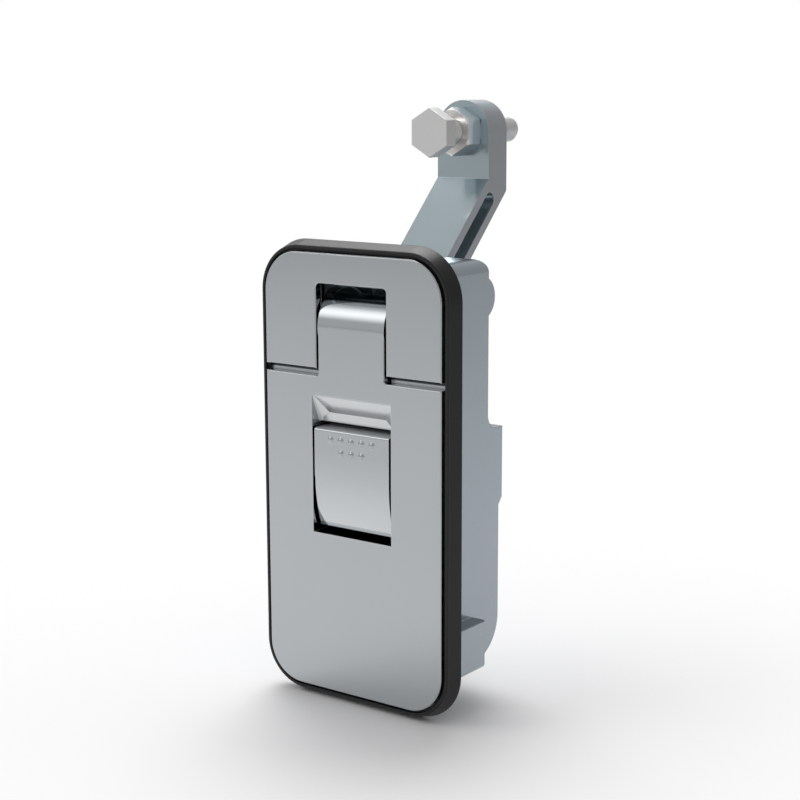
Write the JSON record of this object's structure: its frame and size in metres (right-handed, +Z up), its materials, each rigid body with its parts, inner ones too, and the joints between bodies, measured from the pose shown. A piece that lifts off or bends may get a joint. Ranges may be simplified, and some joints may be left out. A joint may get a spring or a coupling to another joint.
{
  "type": "compression latch",
  "caption": "Lever compression latch with a flush trigger handle, black bezel, deep housing and a cranked arm carrying an adjusting bolt and lock nut.",
  "frame": {"origin": "on the plane that seats against the door panel, at the middle of the lower edge of the latch's face", "axes": "+Z up the face towards the bolt, +Y through the panel into the enclosure, X across the face"},
  "size_m": [0.071, 0.0848, 0.1794],
  "materials": {
    "satin_chrome": "smooth satin chrome plate",
    "zinc_body": "fine die-cast zinc, blue-grey",
    "black_plastic": "matt moulded black",
    "seal_rubber": "closed-cell rubber",
    "plated_steel": "zinc plated",
    "spring_steel": "drawn wire",
    "bearing_plastic": "natural acetal",
    "blue_zinc_steel": "blue-passivated zinc, glossy",
    "pale_zinc_steel": "pale zinc plate"
  },
  "bodies": {
    "root": {"housing": "zinc_body", "bezel_frame": "black_plastic", "flange_gasket": "seal_rubber", "cover_plate": "satin_chrome", "cover_screws": "plated_steel", "hinge_pin_left": "plated_steel", "hinge_pin_right": "plated_steel", "guide_pin": "plated_steel", "guide_bush_left": "bearing_plastic", "guide_bush_right": "bearing_plastic", "catch_bar": "plated_steel", "handle_buffers": "seal_rubber"},
    "handle": {"handle": "satin_chrome", "hinge_bush_left": "bearing_plastic", "hinge_bush_right": "bearing_plastic", "crank_pin": "plated_steel", "trigger_pin": "plated_steel"},
    "trigger": {"trigger": "satin_chrome", "trigger_spring": "spring_steel", "latch_hook": "plated_steel", "hook_screws": "plated_steel"},
    "arm": {"cam_arm": "blue_zinc_steel", "adjusting_bolt": "pale_zinc_steel", "lock_nut": "blue_zinc_steel"}
  },
  "joints": [
    {"name": "handle_hinge", "type": "hinge", "parent": "root", "child": "handle", "pos_m": [0, 0.0053, 0.111], "axis": [-1, 0, 0], "range_deg": [0, 60]},
    {"name": "trigger_pivot", "type": "hinge", "parent": "handle", "child": "trigger", "pos_m": [0, 0.0013, 0.06], "axis": [-1, 0, 0], "range_deg": [0, 10], "stiffness_Nm_per_rad": 0.08, "springref_deg": -11.46, "deforming": ["trigger_spring"]},
    {"name": "arm_crank", "type": "hinge", "parent": "handle", "child": "arm", "pos_m": [0, 0.0049, 0.098], "axis": [-1, 0, 0], "range_deg": [-39.2, 0]}
  ],
  "couplings": [
    {"joint": "arm_crank", "follows": "handle_hinge", "ratio": -0.651}
  ]
}
